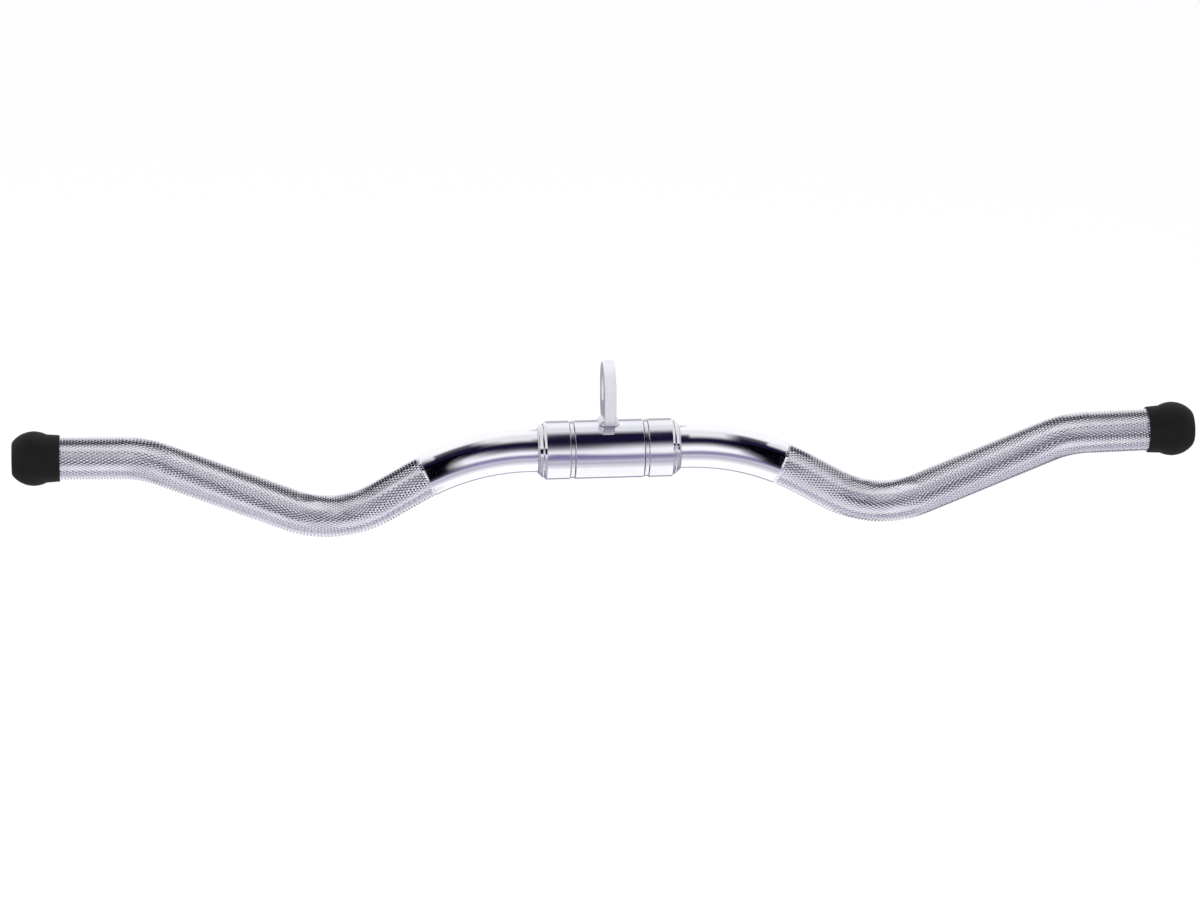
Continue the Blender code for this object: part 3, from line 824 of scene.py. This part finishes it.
makePolishedBar()
for sideName, side in sides.items():
    addPiece(f"gripKnurl_{sideName}", knurledGrip(side), gripChrome, "bar", "bar_chrome", "bar")
print("bar and grips made")

# The turned fittings on the middle of the bar

fittings = {
    "segments": 160,
    "edgeSteps": 5,
    "sleeveEdge": 0.5 * mm,
    "collarEdge": 0.35 * mm,
    "collarEdgeSteps": 4,
    "collarChamfer": 1.4 * mm,
    "ringSlope": 1.8 * mm,
    "ringEdge": 0.2 * mm,
    "washerEdge": 0.25 * mm,
    "bore": barRadius + 0.05 * mm,
    "screwHole": 3.1 * mm,
    "screwHoleFlare": 0.5 * mm,
    "screwHoleSegments": 48,
}


def fittingMesh(name, side, bore, corners, steps=fittings["edgeSteps"]):
    # a ring with a plain bore, from the corners of its outer side
    bored = [*corners, (corners[-1][0], bore, 0), (corners[0][0], bore, 0)]
    profile = roundedProfile(bored, steps)
    return turnedMesh(name, profile, fittings["segments"], closed=True, place=onAxis(side))


def makeSleeve():
    _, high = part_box("swivel_sleeve")
    half, radius = high.x, high.y
    edge = fittings["sleeveEdge"]
    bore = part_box("bush_left")[1].y
    mesh = fittingMesh("swivelSleeve", 1, bore, [(-half, radius, edge), (half, radius, edge)])
    addPiece("swivelSleeve", mesh, sleeveChrome, "hanger", "sleeve_chrome", "swivel_sleeve")


def makeWasher(sideName, side):
    node = f"thrust_washer_{sideName}"
    start, end, radius = stationsOf(node)
    edge = fittings["washerEdge"]
    name = f"thrustWasher_{sideName}"
    mesh = fittingMesh(name, side, fittings["bore"], [(start, radius, edge), (end, radius, edge)])
    addPiece(name, mesh, washerSteel, "bar", "washer_steel", node)


def makeStopRing(sideName, side):
    # a ring with a slope of 45 degrees on its outer side
    node = f"stop_ring_{sideName}"
    start, end, radius = stationsOf(node)
    slope, edge = fittings["ringSlope"], fittings["ringEdge"]
    corners = [(start, radius, edge), (end - slope, radius, edge), (end, radius - slope, edge / 2)]
    name = f"stopRing_{sideName}"
    mesh = fittingMesh(name, side, fittings["bore"], corners)
    addPiece(name, mesh, ringChrome, "bar", "ring_chrome", node)


def holeCutter(direction, middle, radius):
    # a hole with a small flare where it breaks the surface, pointing out along a direction
    hole, flare = fittings["screwHole"], fittings["screwHoleFlare"]
    profile = [(barRadius / 2, 0), (barRadius / 2, hole), (radius - flare, hole),
               (radius + flare, hole + 2 * flare), (radius + flare, 0)]
    turn = Vector((1, 0, 0)).rotation_difference(direction).to_matrix().to_4x4()
    place = Matrix.Translation((middle, 0, axisHeight)) @ turn
    mesh = turnedMesh("holeCutter", profile, fittings["screwHoleSegments"], closed=False, place=place)
    return newObject("holeCutter", mesh)


def makeCollar(sideName, side):
    node = f"collar_{sideName}"
    start, end, radius = stationsOf(node)
    chamfer, edge = fittings["collarChamfer"], fittings["collarEdge"]
    corners = [(start, radius, edge), (end - chamfer, radius, edge), (end, radius - chamfer, edge)]
    mesh = fittingMesh(node, side, fittings["bore"], corners, fittings["collarEdgeSteps"])
    blank = newObject("collarBlank", mesh)
    cutters = []
    for direction in (Vector((0, 1, 0)), Vector((0, 0, -1))):
        cutter = holeCutter(direction, side * (start + end) / 2, radius)
        cut = blank.modifiers.new("hole", "BOOLEAN")
        cut.operation = "DIFFERENCE"
        cut.solver = "EXACT"
        cut.object = cutter
        cutters.append(cutter)
    drilled = evaluatedMesh(blank)
    for spare in (blank, *cutters):
        bpy.data.objects.remove(spare)
    smoothMesh(drilled, sharpDegrees=30)
    drilled = weighNormals(drilled)
    addPiece(f"collar{sideName.capitalize()}", drilled, ringChrome, "bar", "collar_chrome", node)


makeSleeve()
for sideName, side in sides.items():
    makeWasher(sideName, side)
    makeCollar(sideName, side)
    makeStopRing(sideName, side)
print("sleeve, washers, collars and stop rings made")

# The eye plate on the sleeve

eyePlate = {
    "edge": 0.7 * mm,
    "edgeSteps": 3,
    "sink": 0.15 * mm,      # how far its foot goes into the sleeve
    "footHalf": 6 * mm,     # half of what stands on the sleeve, between the round lower corners
    "topSteps": 64,
    "eyeSteps": 72,
    "footSteps": 20,
    "cornerSteps": 24,
}


def arcPoints(centre, radius, first, last, steps):
    turns = [first + (last - first) * i / steps for i in range(steps + 1)]
    return [(centre[0] + radius * math.cos(t), centre[1] + radius * math.sin(t)) for t in turns]


def makeEyePlate():
    low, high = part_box("hanger_plate")
    half, thick = high.y, high.x - low.x
    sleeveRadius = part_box("swivel_sleeve")[1].y
    eye = frame["record"]["mounts"][0]["dims"]["r_mm"] * mm
    foot = sleeveRadius - eyePlate["sink"]
    footHalf = eyePlate["footHalf"]
    lean = math.asin(footHalf / foot)
    corner = half - footHalf
    across, up = half - corner, axisHeight + math.sqrt(foot**2 - footHalf**2) + corner
    outline = arcPoints((0, 0), half, 0, math.pi, eyePlate["topSteps"])
    outline += arcPoints((-across, up), corner, math.pi, 1.5 * math.pi, eyePlate["cornerSteps"])
    outline += arcPoints((0, axisHeight), foot, quarterTurn + lean, quarterTurn - lean,
                         eyePlate["footSteps"])[1:-1]
    outline += arcPoints((across, up), corner, 1.5 * math.pi, fullTurn, eyePlate["cornerSteps"])[:-1]
    hole = arcPoints((0, 0), eye, 0, fullTurn, eyePlate["eyeSteps"])[:-1]
    curve = bpy.data.curves.new("eyePlate", "CURVE")
    curve.dimensions = "2D"
    curve.fill_mode = "BOTH"
    curve.extrude = thick / 2 - eyePlate["edge"]
    curve.bevel_depth = eyePlate["edge"]
    curve.bevel_resolution = eyePlate["edgeSteps"]
    curve.offset = -eyePlate["edge"]
    for points in (outline, hole):
        spline = curve.splines.new("POLY")
        spline.points.add(len(points) - 1)
        for point, (y, z) in zip(spline.points, points):
            point.co = (y, z, 0, 1)
        spline.use_cyclic_u = True
    blank = newObject("eyePlateBlank", curve)
    mesh = evaluatedMesh(blank)
    bpy.data.objects.remove(blank)
    mesh.transform(Matrix(((0, 0, 1, 0), (1, 0, 0, 0), (0, 1, 0, 0), (0, 0, 0, 1))))        # stands it up
    cleanMesh(mesh, sharpDegrees=40, joinWithin=1e-6)
    addPiece("eyePlate", weighNormals(mesh), plateChrome, "hanger", "plate_chrome", "hanger_plate")


makeEyePlate()
print("eye plate made")

# The fillet welds: a row of overlapping scallops along each joint

weld = {
    "plateLeg": 2.8 * mm,
    "plateOverrun": 1.5 * mm,       # how far the fillet runs past the plate's foot
    "ringLeg": 1.4 * mm,
    "ringReach": 1.3 * mm,
    "rippleLength": 1.7 * mm,
    "rippleDepth": 0.12 * mm,
    "stepsPerRipple": 7,
    "sectionSteps": 9,
    "hollow": 0.24,         # how far the fillet's middle falls in
    "sweep": 1.35,          # how thinly it runs out on the walls
    "sink": 0.25 * mm,
    "unevenness": 0.1,
    "unevenLength": 4 * mm,
    "noisePlace": 3.7,      # where the unevenness is read in the noise
    "endLength": 1.6 * mm,  # over which an open end thins out
    "endShare": 0.25,       # to this share of the leg
}


def filletMesh(name, cornerAt, length, legOne, legTwo, closed):
    # a fillet in the corner that cornerAt(distance) gives as (point, first wall, second wall)
    ripple = weld["rippleLength"]
    count = max(8, round(length / ripple) * weld["stepsPerRipple"])
    sections = weld["sectionSteps"]
    points = []
    perRing = sections + 2
    rings = count if closed else count + 1
    for k in range(rings):
        distance = length * k / count
        corner, one, two = cornerAt(distance)
        phase = (distance / ripple) % 1.0
        scallop = weld["rippleDepth"] * (1 - (2 * phase - 1) ** 2) - weld["rippleDepth"] / 2
        spot = Vector((distance / weld["unevenLength"], legOne / mm, weld["noisePlace"]))
        wander = 1 + weld["unevenness"] * noise.noise(spot)
        taper = 1.0
        if not closed:
            fromEnd = min(distance, length - distance) / weld["endLength"]
            taper = min(1.0, fromEnd * (1 - weld["endShare"]) + weld["endShare"])
        first, second = legOne * wander * taper, legTwo * wander * taper
        for s in range(sections + 1):
            turn = quarterTurn * s / sections
            bulge = 1 - weld["hollow"] * math.sin(2 * turn)
            reachOne = math.cos(turn) ** weld["sweep"] * first * (0.5 + 0.5 * bulge)
            reachTwo = math.sin(turn) ** weld["sweep"] * second * (0.5 + 0.5 * bulge)
            outwards = (one + two).normalized() * scallop * math.sin(2 * turn)
            points.append(corner + one * (reachOne - weld["sink"] * (s == sections))
                          + two * (reachTwo - weld["sink"] * (s == 0)) + outwards)
        points.append(corner - (one + two) * weld["sink"])
    faces = []
    for k in range(count):
        near, far = k * perRing, ((k + 1) % rings) * perRing
        for s in range(perRing):
            t = (s + 1) % perRing
            faces.append([near + s, near + t, far + t, far + s])
    if not closed:
        faces.append(list(range(perRing)))
        faces.append(list(range(count * perRing, (count + 1) * perRing)))
    return meshFrom(name, points, faces, sharpDegrees=60)


def makePlateWeld(sideName, side):
    node = f"hanger_weld_{sideName}"
    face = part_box("hanger_plate")[1].x
    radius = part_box("swivel_sleeve")[1].y
    lean = math.asin((eyePlate["footHalf"] + weld["plateOverrun"]) / radius)
    corner, leg = roundCorner(side, face, radius, lean), weld["plateLeg"]
    mesh = filletMesh(f"plateWeld_{sideName}", corner, 2 * lean * radius, leg, leg, closed=False)
    addPiece(f"plateWeld_{sideName}", mesh, weldChrome, "hanger", "weld_plated", node)


def makeRingWeld(sideName, side):
    node = f"stop_ring_weld_{sideName}"
    ringEnd = stationsOf(f"stop_ring_{sideName}")[1]
    corner = roundCorner(side, ringEnd, barRadius)
    mesh = filletMesh(f"ringWeld_{sideName}", corner, fullTurn * barRadius,
                      weld["ringReach"], weld["ringLeg"], closed=True)
    addPiece(f"ringWeld_{sideName}", mesh, weldChrome, "bar", "weld_plated", node)


for sideName, side in sides.items():
    makePlateWeld(sideName, side)
    makeRingWeld(sideName, side)
print("welds made")

# The rubber caps: a ball with a flat face, a soft lip and the fine line where the mould closed

cap = {
    "ballRadius": 16.2 * mm,
    "faceRadius": 9.5 * mm,
    "faceEdge": 0.8 * mm,
    "ballSteps": 40,
    "length": 28.5 * mm,
    "endWall": 6 * mm,
    "boreGap": 0.3 * mm,    # the solid cap's room round the bar
    "cuffWall": 1.65 * mm,  # over the bar, where the cuff leaves the ball
    "lipWall": 1.15 * mm,   # and at its rim
    "lipEdge": 0.5 * mm,
    "lipSteps": 4,
    "mouldLine": 0.12 * mm,
    "mouldLineWidth": 0.7 * mm,
    "gateRadius": 2.2 * mm,
    "gateDepth": 0.35 * mm,
    "segments": 144,
}


def capProfile():
    ball, face = cap["ballRadius"], cap["faceRadius"]
    cuff, lip = barRadius + cap["cuffWall"], barRadius + cap["lipWall"]
    bore, length, edge = fittings["bore"], cap["length"], cap["faceEdge"]
    aboveCentre = math.sqrt(ball**2 - face**2)
    belowCentre = math.sqrt(ball**2 - cuff**2)
    centre = length - aboveCentre
    first = math.atan2(aboveCentre, face)
    last = -math.atan2(belowCentre, cuff)
    gate, gateDepth = cap["gateRadius"], cap["gateDepth"]
    profile = [(length - gateDepth, 0.0), (length - gateDepth, gate - gateDepth / 2),
               (length, gate + gateDepth / 2), (length, face - edge),
               (length - 0.08 * edge, face - 0.45 * edge)]
    steps, lipSteps = cap["ballSteps"], cap["lipSteps"]
    for i in range(1, steps + 1):
        turn = first - edge / ball / 2 + (last - first + edge / ball / 2) * i / steps
        along = centre + ball * math.sin(turn)
        lift = cap["mouldLine"] * math.exp(-(2 * ball * turn / cap["mouldLineWidth"]) ** 2)
        profile.append((along, (ball + lift) * math.cos(turn)))
    lipEdge = cap["lipEdge"]
    for i in range(lipSteps + 1):
        turn = quarterTurn * i / lipSteps
        profile.append((lipEdge - lipEdge * math.sin(turn), lip - lipEdge + lipEdge * math.cos(turn)))
    floor = length - cap["endWall"]
    profile += [(0.0, bore), (floor, bore), (floor, 0.0)]
    return profile


def makeCap(sideName, side):
    node = f"end_cap_{sideName}"
    heading = math.radians(bends["endRise"])
    rimLean = math.sin(heading) * (barRadius + cap["boreGap"])
    x, z, heading = alongBar(distanceAt(capRim + rimLean))
    tilt = Matrix.Rotation(-heading, 4, "Y")
    place = turnedTo(side) @ Matrix.Translation((x, 0, z)) @ tilt
    mesh = turnedMesh(node, capProfile(), cap["segments"], closed=False, place=place, sharpDegrees=40)
    addPiece(f"endCap_{sideName}", mesh, capRubber, "bar", "cap_rubber", node)


for sideName, side in sides.items():
    makeCap(sideName, side)
print("end caps made")

# What stays hidden or is right as it is: the bushes and the grub screws

for sideName in sides:
    for node, material in ((f"bush_{sideName}", bushBronze),
                           (f"set_screw_{sideName}_back", screwBlack),
                           (f"set_screw_{sideName}_bottom", screwBlack)):
        kept = frame["nodes"][node]
        kept.data.materials.clear()
        kept.data.materials.append(material)
print("bushes and grub screws finished")
